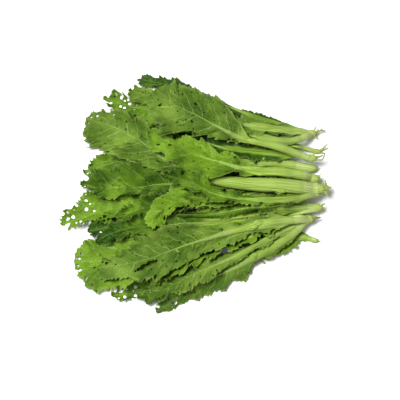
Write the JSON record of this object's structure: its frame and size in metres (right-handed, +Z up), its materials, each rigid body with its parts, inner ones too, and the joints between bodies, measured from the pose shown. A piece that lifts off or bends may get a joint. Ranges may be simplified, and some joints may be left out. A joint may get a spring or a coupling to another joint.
{
  "type": "mustard greens bunch",
  "caption": "Loose bunch of young mustard greens with short roots, laid flat: pale ribbed stalks one way, toothed, crinkled leaves the other",
  "frame": {"origin": "middle of the bunch's footprint, on the surface that it lies on", "axes": "+X from leaf tips to roots, +Y to the far side of the bunch, +Z up from the surface"},
  "size_m": [0.3027, 0.2785, 0.0454],
  "materials": {
    "leaf_bright": "matte",
    "leaf_pale": "matte"
  },
  "bodies": {
    "root": {"plant_1": "leaf_bright", "plant_2": "leaf_bright", "plant_3": "leaf_pale", "plant_4": "leaf_bright", "plant_5": "leaf_bright", "plant_6": "leaf_bright", "plant_7": "leaf_bright", "plant_8": "leaf_pale", "plant_9": "leaf_bright"}
  },
  "joints": []
}
